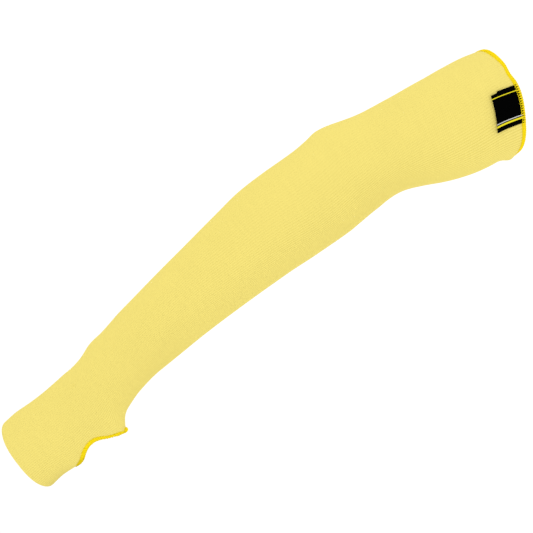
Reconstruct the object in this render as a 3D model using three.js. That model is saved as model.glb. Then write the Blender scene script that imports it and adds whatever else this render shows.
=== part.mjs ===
import * as THREE from "three";

// A seamless knitted cut resistant sleeve, in the form that it takes on a slightly bent arm.
// Millimetres. The origin is the centre of the upper-arm opening, and the sleeve hangs down from
// it with +Z along the line from the hand rim to the hem. +X is the thumb side, -X the elbow side,
// and -Y the near side, which carries the label.

// Driving dimensions of the sleeve
const sleeveLength = 546; // along the centreline, from rim to rim
const upperArmLean = 15; // degrees: the hem's end leans this far to the thumb side
const upperArmWidth = 104; // widths run from the elbow side to the thumb side
const upperArmDepth = 96; // depths run from the near side to the far side
const forearmWidth = 91;
const forearmDepth = 81;
const wristWidth = 63;
const wristDepth = 46;
const handWidth = 74;
const handDepth = 36;
const knitWall = 1.5;

// The rims: how far they run on past the centreline's end, or stay short of it, on each side
const hemNearBow = 10.5;
const hemFarSetback = 4;
const hemThumbSetback = 2.6;
const handNearBow = 9.8;
const handFarSetback = 2;
const handThumbBow = 4.2;
const hemBlend = 87; // the hem's slant fades over this length
const handBlend = 55; // and the hand rim's over this one

// Thumb hole, measured on the knit
const holeFromHandRim = 47; // from the hand rim to the hole's widest place
const holeToWrist = 30; // from there to the pointed end near the wrist
const holeToHand = 17; // and to the round end near the hand
const holeAcross = 34; // round the sleeve
const thumbFlare = 12; // how far the knit stands out at the pointed end
const thumbFlareSpread = 16; // half of the flare's breadth round the sleeve
const thumbFlareRise = 26; // it rises over this length, coming from the wrist
const thumbFlareFall = 30; // and would sink over this one, where the hole is
const pointedness = 1.3; // of the hole's end near the wrist: 2 would be half an ellipse

// Overlock thread bands
const seamReach = 3.8; // from the knit's edge to the needle thread
const seamThread = 0.7;
const seamGap = 0.3; // clearance between neighbouring pieces
const tailLength = 2.6;
const tailDiameter = 2.8;

// Label: one ribbon folded at its free end
const labelWide = 33.5; // along the hem
const labelLong = 19.5; // from the hem band to the fold
const labelOffset = 9; // its middle lies this far from the near side's middle, to the thumb side
const labelRibbon = 0.45;
const labelLift = 1.4; // how far the folded end stands off the knit
const labelSkew = 3; // degrees
const labelStep = 1.3; // the fold's upper edge is set in by this much
const labelStepLong = 5.5;
const labelTail = 2.6; // how much of it lies under the hem band

// Mesh density
const stationsRound = 36;
const armRowPitch = 14;
const hemRowPitch = 7;
const holeRowPitch = 7.6;
const patchEndMargin = 5; // from the band round the hole to the ends of the hole's patch
const patchSideMargin = 3;
const labelColumns = 8;

const knitYellow = new THREE.MeshStandardMaterial({ color: 0xf5e27c, roughness: 0.92, metalness: 0 });
const threadYellow = new THREE.MeshStandardMaterial({ color: 0xfadc16, roughness: 0.7, metalness: 0 });
const ribbonBlack = new THREE.MeshStandardMaterial({ color: 0x0d0d0d, roughness: 0.75, metalness: 0 });

// The centreline bends in the XZ plane. at and over are shares of the length, turn is in degrees.
const bends = [
  { at: 0.215, turn: 12.9, over: 0.164 }, // the elbow
  { at: 0.482, turn: 7.9, over: 0.35 }, // the forearm's slow curve
  { at: 0.738, turn: 3.3, over: 0.123 }, // the wrist
  { at: 0.903, turn: -1.7, over: 0.103 }, // the palm
];

// Sections. wide, deep and shift are shares of the size that the row follows, shift being how far
// the section's middle lies to the thumb side. square is the exponent of the rounded outline.
const upperArm = { width: upperArmWidth, depth: upperArmDepth };
const forearm = { width: forearmWidth, depth: forearmDepth };
const wrist = { width: wristWidth, depth: wristDepth };
const hand = { width: handWidth, depth: handDepth };
const sections = [
  { at: 0.0, follows: upperArm, wide: 0.985, deep: 1.005, shift: 0.0, square: 2.0 },
  { at: 0.015, follows: upperArm, wide: 0.984, deep: 1.0, shift: -0.004, square: 2.0 },
  { at: 0.035, follows: upperArm, wide: 0.983, deep: 0.995, shift: -0.006, square: 2.0 },
  { at: 0.07, follows: upperArm, wide: 0.976, deep: 0.985, shift: 0.005, square: 2.0 },
  { at: 0.103, follows: upperArm, wide: 0.945, deep: 0.965, shift: 0.018, square: 2.0 },
  { at: 0.133, follows: upperArm, wide: 0.902, deep: 0.94, shift: 0.018, square: 2.0 },
  { at: 0.164, follows: upperArm, wide: 0.849, deep: 0.91, shift: 0.014, square: 2.0 },
  { at: 0.205, follows: upperArm, wide: 0.79, deep: 0.875, shift: 0.001, square: 2.0 },
  { at: 0.226, follows: upperArm, wide: 0.794, deep: 0.865, shift: -0.007, square: 2.0 },
  { at: 0.246, follows: forearm, wide: 0.94, deep: 1.015, shift: -0.018, square: 2.0 },
  { at: 0.267, follows: forearm, wide: 0.986, deep: 1.01, shift: -0.026, square: 2.0 },
  { at: 0.287, follows: forearm, wide: 1.018, deep: 1.01, shift: -0.031, square: 2.0 },
  { at: 0.308, follows: forearm, wide: 0.99, deep: 1.01, shift: -0.007, square: 2.0 },
  { at: 0.338, follows: forearm, wide: 0.996, deep: 1.01, shift: 0.003, square: 2.0 },
  { at: 0.41, follows: forearm, wide: 0.991, deep: 1.0, shift: 0.0, square: 2.0 },
  { at: 0.451, follows: forearm, wide: 0.967, deep: 0.98, shift: -0.004, square: 2.0 },
  { at: 0.492, follows: forearm, wide: 0.923, deep: 0.945, shift: 0.003, square: 2.0 },
  { at: 0.533, follows: forearm, wide: 0.88, deep: 0.905, shift: 0.007, square: 2.0 },
  { at: 0.574, follows: forearm, wide: 0.842, deep: 0.86, shift: 0.007, square: 2.05 },
  { at: 0.615, follows: forearm, wide: 0.805, deep: 0.81, shift: 0.002, square: 2.05 },
  { at: 0.656, follows: forearm, wide: 0.773, deep: 0.755, shift: -0.001, square: 2.1 },
  { at: 0.697, follows: wrist, wide: 1.073, deep: 1.22, shift: -0.002, square: 2.1 },
  { at: 0.728, follows: wrist, wide: 1.043, deep: 1.14, shift: -0.005, square: 2.15 },
  { at: 0.749, follows: wrist, wide: 1.013, deep: 1.085, shift: -0.006, square: 2.2 },
  { at: 0.769, follows: wrist, wide: 0.998, deep: 1.035, shift: -0.002, square: 2.2 },
  { at: 0.787, follows: wrist, wide: 1.02, deep: 1.0, shift: -0.009, square: 2.25 },
  { at: 0.8, follows: wrist, wide: 1.006, deep: 0.975, shift: 0.0, square: 2.25 },
  { at: 0.82, follows: wrist, wide: 0.97, deep: 0.935, shift: 0.038, square: 2.3 },
  { at: 0.841, follows: hand, wide: 0.851, deep: 1.14, shift: 0.039, square: 2.35 },
  { at: 0.862, follows: hand, wide: 0.898, deep: 1.09, shift: 0.051, square: 2.4 },
  { at: 0.892, follows: hand, wide: 0.947, deep: 1.04, shift: 0.06, square: 2.45 },
  { at: 0.913, follows: hand, wide: 0.974, deep: 1.02, shift: 0.06, square: 2.5 },
  { at: 0.944, follows: hand, wide: 0.985, deep: 1.0, shift: 0.043, square: 2.5 },
  { at: 0.974, follows: hand, wide: 0.982, deep: 1.0, shift: 0.003, square: 2.5 },
  { at: 1.0, follows: hand, wide: 0.975, deep: 1.0, shift: -0.004, square: 2.5 },
];

function smooth(value) {
  const t = Math.min(Math.max(value, 0), 1);
  return t * t * (3 - 2 * t);
}

function headingAt(share) {
  let degrees = -upperArmLean;
  for (const bend of bends) {
    degrees += bend.turn * smooth((share - bend.at + bend.over / 2) / bend.over);
  }
  return THREE.MathUtils.degToRad(degrees);
}

// The centreline is walked in short equal steps, and read between them.
const centreSteps = 600;
const centrePoints = [new THREE.Vector3(0, 0, 0)];
for (let step = 0; step < centreSteps; step += 1) {
  const heading = headingAt((step + 0.5) / centreSteps);
  const ahead = new THREE.Vector3(Math.sin(heading), 0, -Math.cos(heading));
  centrePoints.push(centrePoints[step].clone().addScaledVector(ahead, sleeveLength / centreSteps));
}

function centreAt(share) {
  const place = Math.min(Math.max(share, 0), 1) * centreSteps;
  const step = Math.min(Math.floor(place), centreSteps - 1);
  return centrePoints[step].clone().lerp(centrePoints[step + 1], place - step);
}

// Section values in real lengths, joined along the sleeve by a smooth cubic.
const sectionRows = sections.map((row) => ({
  at: row.at,
  halfWidth: (row.wide * row.follows.width) / 2,
  halfDepth: (row.deep * row.follows.depth) / 2,
  shift: row.shift * row.follows.width,
  square: row.square,
}));

function rowSlope(index, column) {
  const before = sectionRows[Math.max(index - 1, 0)];
  const after = sectionRows[Math.min(index + 1, sectionRows.length - 1)];
  return (after[column] - before[column]) / (after.at - before.at);
}

function sectionValue(share, column) {
  const inside = Math.min(Math.max(share, 0), 1);
  let index = sectionRows.length - 2;
  while (index > 0 && sectionRows[index].at > inside) index -= 1;
  const low = sectionRows[index];
  const high = sectionRows[index + 1];
  const span = high.at - low.at;
  const t = (inside - low.at) / span;
  const lowSlope = rowSlope(index, column) * span;
  const highSlope = rowSlope(index + 1, column) * span;
  const lift = low[column] * (1 + t * t * (2 * t - 3)) + high[column] * t * t * (3 - 2 * t);
  return lift + lowSlope * t * (1 - t) * (1 - t) - highSlope * t * t * (1 - t);
}

// One section's outline, measured by its own length from the thumb-side crest over the near side.
const outlineSteps = 240;
const outlines = new Map();

function outlineAt(share) {
  if (outlines.has(share)) return outlines.get(share);
  const halfWidth = sectionValue(share, "halfWidth");
  const halfDepth = sectionValue(share, "halfDepth");
  const shift = sectionValue(share, "shift");
  const power = 2 / sectionValue(share, "square");
  const points = [];
  const lengths = [0];
  for (let step = 0; step <= outlineSteps; step += 1) {
    const angle = (step / outlineSteps) * Math.PI * 2;
    const across = Math.cos(angle);
    const near = Math.sin(angle);
    const x = shift + halfWidth * Math.sign(across) * Math.abs(across) ** power;
    const y = halfDepth * Math.sign(near) * Math.abs(near) ** power;
    points.push(new THREE.Vector2(x, y));
    if (step > 0) lengths.push(lengths[step - 1] + points[step].distanceTo(points[step - 1]));
  }
  const outline = { points, lengths, girth: lengths[outlineSteps], halfWidth, halfDepth, shift };
  outlines.set(share, outline);
  return outline;
}

function outlinePoint(outline, turn) {
  const wanted = (turn - Math.floor(turn)) * outline.girth;
  let low = 0;
  let high = outlineSteps;
  while (high - low > 1) {
    const middle = (low + high) >> 1;
    if (outline.lengths[middle] > wanted) high = middle;
    else low = middle;
  }
  const part = (wanted - outline.lengths[low]) / (outline.lengths[high] - outline.lengths[low]);
  return outline.points[low].clone().lerp(outline.points[high], part);
}

const holePlace = sleeveLength - holeFromHandRim;
const flarePlace = holePlace - holeToWrist;

function flareHeight(share, aroundCrest) {
  const past = share * sleeveLength - flarePlace;
  const fade = past < 0 ? thumbFlareRise : thumbFlareFall;
  const near = 1 - Math.min(Math.abs(past) / fade, 1);
  return thumbFlare * near ** 2.2 * Math.exp(-((aroundCrest / thumbFlareSpread) ** 2));
}

// How far a rim runs on between its near side (toNear 1) and its far side (toNear -1).
function rimBow(near, far, toNear) {
  return ((near - far) / 2) * toNear + ((near + far) / 2) * toNear ** 2;
}

// A point of the sleeve's outer face. turn is the share of the way round, 0 at the thumb-side
// crest, a quarter at the near side and a half at the elbow side.
function outerPoint(share, turn) {
  const outline = outlineAt(share);
  const local = outlinePoint(outline, turn);
  const centred = turn - Math.round(turn);
  const toThumb = (local.x - outline.shift) / outline.halfWidth;
  const toNear = local.y / outline.halfDepth;
  const threadRoom = seamGap + seamThread; // the hem's thread stands this far beyond the knit
  const hemRun = threadRoom + hemThumbSetback * toThumb - rimBow(hemNearBow, -hemFarSetback, toNear);
  const handRun = handThumbBow * toThumb + rimBow(handNearBow, -handFarSetback, toNear);
  const heading = headingAt(share);
  const out = local.x + flareHeight(share, centred * outline.girth);
  const nearHem = 1 - smooth((share * sleeveLength) / hemBlend);
  const nearHand = 1 - smooth(((1 - share) * sleeveLength) / handBlend);
  const ahead = nearHem * hemRun + nearHand * handRun;
  const point = centreAt(share);
  point.x += out * Math.cos(heading) + ahead * Math.sin(heading);
  point.y -= local.y;
  point.z += out * Math.sin(heading) - ahead * Math.cos(heading);
  return point;
}

function outwardNormal(share, turn) {
  const alongStep = 0.003;
  const roundStep = 0.006;
  const along = outerPoint(Math.min(share + alongStep, 1), turn);
  along.sub(outerPoint(Math.max(share - alongStep, 0), turn));
  const round = outerPoint(share, turn + roundStep).sub(outerPoint(share, turn - roundStep));
  return round.cross(along).normalize();
}

// A place on the wall: its outer and inner faces and its normal.
function wallPlace(share, turn) {
  const outer = outerPoint(share, turn);
  const normal = outwardNormal(share, turn);
  const inner = outer.clone().addScaledVector(normal, -knitWall);
  return { outer, inner, normal };
}

// Turns a list of points and triangles into a mesh whose faces point outwards.
function solidMesh(name, points, triangles, material) {
  let volume = 0;
  for (const [a, b, c] of triangles) {
    volume += points[a].dot(points[b].clone().cross(points[c]));
  }
  const facing = volume > 0 ? triangles : triangles.map(([a, b, c]) => [a, c, b]);
  const geometry = new THREE.BufferGeometry();
  const coordinates = points.flatMap((point) => [point.x, point.y, point.z]);
  geometry.setAttribute("position", new THREE.Float32BufferAttribute(coordinates, 3));
  geometry.setIndex(facing.flat());
  geometry.computeVertexNormals();
  const mesh = new THREE.Mesh(geometry, material);
  mesh.name = name;
  return mesh;
}

function splitQuad(a, b, c, d) {
  return [
    [a, b, c],
    [a, c, d],
  ];
}

// A closed ring of equal closed loops, such as a band's section carried round a rim.
function ringMesh(name, loops, material) {
  const size = loops[0].length;
  const points = loops.flat();
  const triangles = [];
  loops.forEach((loop, station) => {
    const here = station * size;
    const there = ((station + 1) % loops.length) * size;
    for (let side = 0; side < size; side += 1) {
      const after = (side + 1) % size;
      triangles.push(...splitQuad(here + side, there + side, there + after, here + after));
    }
  });
  return solidMesh(name, points, triangles, material);
}

// Rows of the wall, as distances along the sleeve
function spread(from, to, pitch) {
  const count = Math.max(Math.round((to - from) / pitch), 1);
  return Array.from({ length: count }, (_, step) => from + ((to - from) * (step + 1)) / count);
}

const patchStart = holePlace - holeToWrist - seamReach - patchEndMargin;
const patchEnd = holePlace + holeToHand + seamReach + patchEndMargin;
const labelZone = seamReach + labelLong + labelStepLong;
const armRows = [
  0,
  ...spread(0, seamReach, seamReach / 2),
  ...spread(seamReach, labelZone, hemRowPitch),
  ...spread(labelZone, patchStart, armRowPitch),
];
const patchRows = spread(patchStart, patchEnd, holeRowPitch);
const rowPlaces = [...armRows, ...patchRows, ...spread(patchEnd, sleeveLength, hemRowPitch)];
const firstPatchRow = armRows.length - 1;
const lastPatchRow = firstPatchRow + patchRows.length;

// Stations from the thumb-side crest to the side of the hole's patch
const stationPitch = outlineAt(holePlace / sleeveLength).girth / stationsRound;
const holeColumns = Math.ceil((holeAcross / 2 + seamReach + patchSideMargin) / stationPitch);

// The rim of the thumb hole: half an ellipse to the hand, and a more pointed half to the wrist.
function holeRim(angle) {
  const lengthwise = Math.cos(angle);
  const sideways = Math.sin(angle);
  const power = lengthwise < 0 ? 2 / pointedness : 1;
  const reach = lengthwise < 0 ? holeToWrist : holeToHand;
  const along = Math.sign(lengthwise) * reach * Math.abs(lengthwise) ** power;
  const around = (Math.sign(sideways) * holeAcross * Math.abs(sideways) ** power) / 2;
  return new THREE.Vector2(along, around);
}

function placeOnKnit(along, around) {
  const share = (holePlace + along) / sleeveLength;
  return wallPlace(share, around / outlineAt(share).girth);
}

// The patch's edge, once round, as rows and columns of the wall
function patchEdge() {
  const edge = [];
  for (let column = -holeColumns; column < holeColumns; column += 1) edge.push([firstPatchRow, column]);
  for (let row = firstPatchRow; row < lastPatchRow; row += 1) edge.push([row, holeColumns]);
  for (let column = holeColumns; column > -holeColumns; column -= 1) edge.push([lastPatchRow, column]);
  for (let row = lastPatchRow; row > firstPatchRow; row -= 1) edge.push([row, -holeColumns]);
  return edge;
}

// Spokes run from the hole's rim to the patch's edge, one to each place on that edge.
const holeSpokes = patchEdge().map(([row, column]) => {
  const share = rowPlaces[row] / sleeveLength;
  const along = rowPlaces[row] - holePlace;
  const around = (column / stationsRound) * outlineAt(share).girth;
  const middle = (patchStart + patchEnd) / 2 - holePlace;
  const halfLong = (patchEnd - patchStart) / 2;
  const halfRound = (holeColumns / stationsRound) * outlineAt(share).girth;
  const rim = holeRim(Math.atan2(around / halfRound, (along - middle) / halfLong));
  const edge = new THREE.Vector2(along, around);
  const away = edge.clone().sub(rim);
  const places = [0, seamReach / 2, seamReach].map((depth) => {
    const at = rim.clone().addScaledVector(away, depth / away.length());
    return placeOnKnit(at.x, at.y);
  });
  return { row, column, places };
});

function knitSleeve() {
  const places = [];
  const grid = rowPlaces.map((distance, row) => {
    const ids = [];
    for (let station = 0; station < stationsRound; station += 1) {
      const column = station > stationsRound / 2 ? station - stationsRound : station;
      const inRows = row > firstPatchRow && row < lastPatchRow;
      if (inRows && Math.abs(column) < holeColumns) {
        ids.push(-1);
      } else {
        ids.push(places.length);
        places.push(wallPlace(distance / sleeveLength, station / stationsRound));
      }
    }
    return ids;
  });
  const quads = [];
  for (let row = 0; row + 1 < rowPlaces.length; row += 1) {
    for (let station = 0; station < stationsRound; station += 1) {
      const next = (station + 1) % stationsRound;
      const middle = station + 0.5 > stationsRound / 2 ? station + 0.5 - stationsRound : station + 0.5;
      const inPatch = row >= firstPatchRow && row < lastPatchRow && Math.abs(middle) < holeColumns;
      const [here, ahead] = [grid[row], grid[row + 1]];
      if (!inPatch) quads.push([here[station], ahead[station], ahead[next], here[next]]);
    }
  }
  const spokeIds = holeSpokes.map((spoke) => {
    const ids = spoke.places.map((place) => places.push(place) - 1);
    ids.push(grid[spoke.row][(spoke.column + stationsRound) % stationsRound]);
    return ids;
  });
  spokeIds.forEach((ids, spoke) => {
    const next = spokeIds[(spoke + 1) % spokeIds.length];
    for (let step = 0; step + 1 < ids.length; step += 1) {
      quads.push([ids[step], next[step], next[step + 1], ids[step + 1]]);
    }
  });
  return thickenedMesh("knit_sleeve", places, quads, knitYellow);
}

// Gives a sheet of quads its inner face, and closes the wall along every open edge.
function thickenedMesh(name, places, quads, material) {
  const points = [...places.map((place) => place.outer), ...places.map((place) => place.inner)];
  const inside = places.length;
  const triangles = [];
  const edges = new Map();
  for (const quad of quads) {
    const [a, b, c, d] = quad;
    triangles.push(...splitQuad(a, b, c, d), ...splitQuad(b + inside, a + inside, d + inside, c + inside));
    quad.forEach((from, side) => {
      const to = quad[(side + 1) % quad.length];
      const back = `${to} ${from}`;
      if (edges.has(back)) edges.delete(back);
      else edges.set(`${from} ${to}`, [from, to]);
    });
  }
  for (const [from, to] of edges.values()) {
    triangles.push(...splitQuad(to, from, from + inside, to + inside));
  }
  return solidMesh(name, points, triangles, material);
}

// The section of an overlock band: up over the outer face, round the edge and down the inner one.
// places run from the knit's edge inwards, and outerLift raises the outer leg over what lies there.
function bandSection(places, outerLift) {
  const edgeWay = places[0].outer.clone().sub(places[1].outer).normalize();
  const level = seamGap + seamThread;
  const overOuter = (place, height) => place.outer.clone().addScaledVector(place.normal, height);
  const overInner = (place, height) => place.inner.clone().addScaledVector(place.normal, -height);
  const rounded = 0.55; // the band's outside corners are cut back to this share
  const outerSkin = places.map((place) => overOuter(place, level + outerLift)).reverse();
  const innerSkin = places.map((place) => overInner(place, level));
  const innerBack = places.map((place) => overInner(place, seamGap)).reverse();
  const outerBack = places.map((place) => overOuter(place, seamGap + outerLift));
  const outerCorner = overOuter(places[0], level * rounded + outerLift).addScaledVector(edgeWay, level);
  const innerCorner = overInner(places[0], level * rounded).addScaledVector(edgeWay, level);
  innerBack[innerBack.length - 1].addScaledVector(edgeWay, seamGap);
  outerBack[0].addScaledVector(edgeWay, seamGap);
  return [...outerSkin, outerCorner, innerCorner, ...innerSkin, ...innerBack, ...outerBack];
}

const upperGirth = outlineAt(0).girth;
const labelTurn = 0.25 - labelOffset / upperGirth;
const labelThick = 3 * labelRibbon; // two layers with a ribbon's thickness between them
const facetSag = (upperArmWidth / 2) * (1 - Math.cos(Math.PI / stationsRound));

function hemOverlock() {
  const loops = [];
  const stationShare = 1 / stationsRound;
  const labelHalf = labelWide / 2 / upperGirth;
  for (let station = 0; station < stationsRound; station += 1) {
    const turn = station * stationShare;
    const places = [0, seamReach / 2, seamReach].map((depth) => wallPlace(depth / sleeveLength, turn));
    const overLabel = Math.abs(turn - labelTurn) < labelHalf + stationShare;
    loops.push(bandSection(places, overLabel ? labelThick + seamGap + facetSag : 0));
  }
  return ringMesh("upper_hem_overlock", loops, threadYellow);
}

function holeOverlock() {
  const loops = holeSpokes.map((spoke) => bandSection(spoke.places, 0));
  return ringMesh("thumb_hole_overlock", loops, threadYellow);
}

// The trimmed end of the thread: a short round-ended stub that stands off the hole's pointed end.
function overlockTail() {
  const seatDepth = seamReach / 4;
  const tip = placeOnKnit(-holeToWrist - seatDepth, 0);
  const radius = tailDiameter / 2;
  const footShare = 0.8; // the stub's foot is this much narrower than the stub
  const profile = [new THREE.Vector2(0, 0)];
  const roundSteps = 4;
  for (let step = 0; step <= roundSteps; step += 1) {
    const angle = (step / roundSteps) * (Math.PI / 2);
    const height = tailLength - radius + radius * Math.sin(angle);
    profile.push(new THREE.Vector2(radius * Math.cos(angle), height));
  }
  profile.splice(1, 0, new THREE.Vector2(radius * footShare, 0));
  profile[profile.length - 1].x = 0;
  const mesh = new THREE.Mesh(new THREE.LatheGeometry(profile, 10), threadYellow);
  mesh.name = "overlock_tail";
  mesh.quaternion.setFromUnitVectors(new THREE.Vector3(0, 1, 0), tip.normal);
  mesh.position.copy(tip.outer).addScaledVector(tip.normal, seamGap + seamThread + seamGap);
  return mesh;
}

// The label's side view is one ribbon, out along the knit, round the fold and back. Each column
// across its width carries that outline over the curved knit.
function label() {
  const fold = labelLong;
  const stepStart = fold - labelStepLong;
  const runs = [-labelTail, 0, stepStart * 0.5, stepStart, stepStart + labelStep, fold];
  const lower = 0;
  const lowerTop = labelRibbon;
  const upperBottom = 2 * labelRibbon;
  const outline = [
    ...runs.map((run) => [run, lower]),
    [fold + labelThick / 2, labelThick / 2],
    ...runs.map((run) => [run, labelThick]).reverse(),
    ...runs.slice(0, -1).map((run) => [run, upperBottom]),
    [fold - labelRibbon / 2, labelThick / 2],
    ...runs.slice(0, -1).map((run) => [run, lowerTop]).reverse(),
  ];
  const size = outline.length;
  const skewSlope = Math.tan(THREE.MathUtils.degToRad(labelSkew));
  const points = [];
  for (let column = 0; column <= labelColumns; column += 1) {
    for (const [run, height] of outline) {
      const setIn = smooth((run - stepStart) / labelStep) * labelStep;
      const width = labelWide - setIn;
      const around = (column / labelColumns) * width - labelWide / 2;
      const liftShare = Math.max(run, 0) / fold;
      const skewed = run - around * skewSlope * liftShare;
      const share = (seamReach + skewed) / sleeveLength;
      const place = wallPlace(share, labelTurn + around / upperGirth);
      const rise = seamGap + height + labelLift * liftShare ** 2;
      points.push(place.outer.addScaledVector(place.normal, rise));
    }
  }
  const triangles = [];
  for (let column = 0; column < labelColumns; column += 1) {
    for (let side = 0; side < size; side += 1) {
      const after = (side + 1) % size;
      const here = column * size;
      const there = here + size;
      triangles.push(...splitQuad(here + side, there + side, there + after, here + after));
    }
  }
  const flat = outline.map(([run, height]) => new THREE.Vector2(run, height));
  for (const [a, b, c] of THREE.ShapeUtils.triangulateShape(flat, [])) {
    triangles.push([a, b, c]);
    const last = labelColumns * size;
    triangles.push([last + a, last + c, last + b]);
  }
  return solidMesh("label", points, triangles, ribbonBlack);
}

const sleeve = new THREE.Group();
sleeve.add(knitSleeve(), hemOverlock(), holeOverlock(), overlockTail(), label());

export default sleeve;
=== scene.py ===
import math

import bpy
import numpy as np
from mathutils import Matrix


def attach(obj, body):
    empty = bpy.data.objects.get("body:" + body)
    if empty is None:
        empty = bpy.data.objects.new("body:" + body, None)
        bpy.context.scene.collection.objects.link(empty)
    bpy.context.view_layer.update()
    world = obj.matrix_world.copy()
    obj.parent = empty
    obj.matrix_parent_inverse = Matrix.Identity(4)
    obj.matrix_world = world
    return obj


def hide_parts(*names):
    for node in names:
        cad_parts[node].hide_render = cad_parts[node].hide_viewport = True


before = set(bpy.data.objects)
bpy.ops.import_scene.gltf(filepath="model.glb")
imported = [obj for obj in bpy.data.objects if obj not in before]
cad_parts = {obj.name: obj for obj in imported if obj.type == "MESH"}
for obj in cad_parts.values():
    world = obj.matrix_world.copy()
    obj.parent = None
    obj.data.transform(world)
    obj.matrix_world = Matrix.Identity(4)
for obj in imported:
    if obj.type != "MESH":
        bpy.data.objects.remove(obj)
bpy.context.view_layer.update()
print("frame loaded")

# The camera stands level with the sleeve's near side, and is turned about its own line of sight.
cameraSet = {
    "place": (-0.00752, -1.1, -0.26089),
    "turned": 53.19,  # degrees, clockwise in the picture
    "lens": 80.4,
    "sensor": 36.0,
}
turned = math.radians(cameraSet["turned"])
pictureRight = (math.cos(turned), 0.0, math.sin(turned))
pictureUp = (-math.sin(turned), 0.0, math.cos(turned))
towardsCamera = (0.0, -1.0, 0.0)
cameraData = bpy.data.cameras.new("sleeveCamera")
cameraData.lens = cameraSet["lens"]
cameraData.sensor_width = cameraSet["sensor"]
cameraData.clip_end = 20.0
camera = bpy.data.objects.new("sleeveCamera", cameraData)
columns = Matrix((pictureRight, pictureUp, towardsCamera)).transposed().to_4x4()
camera.matrix_world = Matrix.Translation(cameraSet["place"]) @ columns
bpy.context.collection.objects.link(camera)
bpy.context.scene.camera = camera
print("camera placed")

# Shape of the sleeve, in millimetres until the last step
sleeveForm = {
    "length": 546.0,
    "lean": 15.0,  # degrees: the hem's end leans to the thumb side
    # where a bend's middle lies, how far it turns in degrees, and over what share of the length
    "bends": ((0.215, 12.9, 0.164), (0.482, 7.9, 0.35), (0.738, 3.3, 0.123), (0.903, -1.7, 0.103)),
    # share of the length, half width, half depth, shift to the thumb side, roundness exponent
    "sections": (
        (0.0, 51.2, 48.2, 0.0, 2.0),
        (0.015, 51.2, 48.0, -0.4, 2.0),
        (0.035, 51.1, 47.8, -0.5, 2.0),
        (0.07, 50.6, 47.3, 1.0, 2.0),
        (0.103, 48.9, 46.3, 1.9, 2.0),
        (0.133, 46.8, 45.1, 1.9, 2.0),
        (0.164, 43.9, 43.7, 1.4, 2.0),
        (0.205, 41.1, 42.0, 0.2, 2.0),
        (0.226, 41.2, 41.5, -0.5, 2.0),
        (0.246, 42.6, 41.1, -1.4, 2.0),
        (0.267, 44.7, 40.9, -2.3, 2.0),
        (0.287, 45.8, 40.9, -2.6, 2.0),
        (0.308, 45.4, 40.9, -1.1, 2.0),
        (0.338, 45.3, 40.9, 0.3, 2.0),
        (0.41, 45.0, 40.5, 0.0, 2.0),
        (0.451, 43.9, 39.7, -0.4, 2.0),
        (0.492, 41.9, 38.3, 0.3, 2.0),
        (0.533, 40.0, 36.6, 0.6, 2.0),
        (0.574, 38.2, 34.8, 0.6, 2.05),
        (0.615, 36.6, 32.8, 0.2, 2.05),
        (0.656, 35.1, 30.6, -0.1, 2.1),
        (0.697, 33.8, 28.1, -0.1, 2.1),
        (0.728, 32.8, 26.2, -0.3, 2.15),
        (0.749, 31.8, 24.9, -0.3, 2.2),
        (0.769, 31.4, 23.8, -0.1, 2.2),
        (0.787, 31.8, 23.0, -0.2, 2.25),
        (0.8, 31.8, 22.4, 0.3, 2.25),
        (0.82, 31.4, 21.5, 2.3, 2.3),
        (0.841, 31.1, 20.5, 2.7, 2.35),
        (0.862, 33.2, 19.6, 3.8, 2.4),
        (0.892, 35.0, 18.7, 4.5, 2.45),
        (0.913, 35.9, 18.4, 4.5, 2.5),
        (0.944, 36.5, 18.0, 3.1, 2.5),
        (0.974, 36.0, 18.0, 0.1, 2.5),
        (1.0, 36.1, 18.0, -0.3, 2.5),
    ),
    # how far the wales are drawn to the thumb side, in mm at shares of the length, and how much
    # wider they lie on the near side, as a share of a turn
    "drawn": ((0.0, -13.0), (0.27, 15.0), (0.38, 16.0), (0.6, 5.0), (0.78, 4.0), (1.0, 0.0)),
    "widened": ((0.0, 0.0), (0.72, 0.0), (0.93, 0.05), (1.0, 0.05)),
    # how far the wales stand out, on the near side and on the thumb side, at shares of the length; in the
    # colour this also sets how much shade is painted in their grooves
    "ribbedAndGrooveShade": ((0.0, 0.3, 1.25), (0.42, 0.25, 1.35), (0.55, 0.6, 1.1), (0.8, 0.3, 0.9), (1.0, 0.3, 0.95)),
    "threadRoom": 0.75,
    "hemThumbSetback": 2.6,
    "hemNear": 10.5,
    "hemFar": -4.0,
    "hemBlend": 87.0,
    "handThumbBow": 4.2,
    "handNear": 9.8,
    "handFar": -2.0,
    "handBlend": 55.0,
    "flare": (12.0, 16.0, 26.0, 32.0),  # height, spread round, rise and fall along
    "flarePower": 2.2,
    # local changes: mm from the hem, turn, spread along, spread round, outwards, towards the hem
    "dents": (
        (0.0, 0.25, 16.0, 20.0, 0.4, 1.2),
        (0.0, 0.312, 12.0, 7.0, 0.0, -1.3),
        (0.0, 0.45, 14.0, 20.0, 0.0, 0.5),
        (0.0, 0.1, 16.0, 16.0, 0.0, 0.9),
        (5.0, 0.0, 3.6, 12.0, 1.6, 0.0),
        (15.5, 0.0, 5.5, 14.0, -0.8, 0.0),
        (479.0, 0.0, 7.5, 9.0, 1.8, 0.0),
        (470.0, 0.36, 2.4, 2.2, -1.3, 0.0),
    ),
    # the hem's rim rolls inwards beside the thumb-side crest
    "roll": {"turn": 0.995, "spread": 13.0, "over": 5.0, "inwards": 3.4, "back": 2.2},
    "tableRows": 780,
    "tableTurns": 600,
}
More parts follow.
